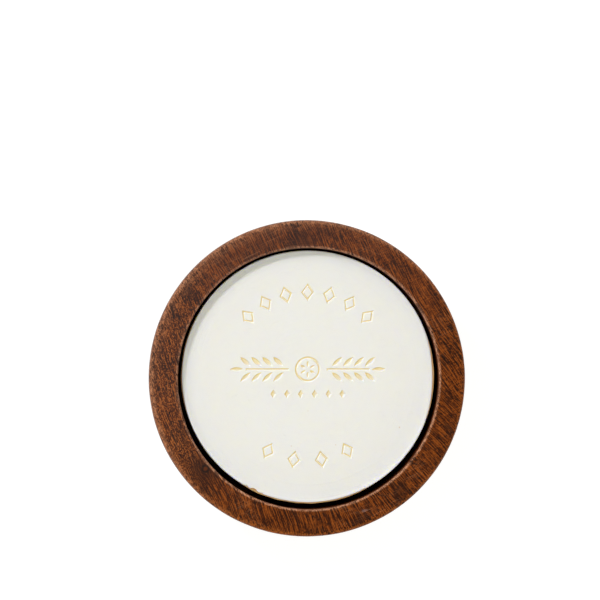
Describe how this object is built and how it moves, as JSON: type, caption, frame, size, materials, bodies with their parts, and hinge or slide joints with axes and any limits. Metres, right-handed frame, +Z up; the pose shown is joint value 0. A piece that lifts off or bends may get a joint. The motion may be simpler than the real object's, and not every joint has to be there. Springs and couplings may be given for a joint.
{
  "type": "shaving soap puck in bowl",
  "caption": "Round pressed soap puck lying loose in a low turned wooden bowl; the puck lifts straight out of the bowl for use or refill.",
  "frame": {"origin": "centre of the foot ring, on the plane the bowl stands on", "axes": "+Z up along the bowl's turning axis; +Y towards the top of the pressed ornament, along the wood grain; +X to its right"},
  "size_m": [0.0938, 0.0938, 0.036],
  "materials": {
    "wood": "satin",
    "soap": "satin"
  },
  "bodies": {
    "bowl": {"wooden_bowl": "wood"},
    "puck": {"soap_puck": "soap"}
  },
  "joints": [
    {"name": "puck_lift", "type": "slide", "parent": "bowl", "child": "puck", "axis": [0, 0, 1], "range_m": [0, 0.03]}
  ]
}
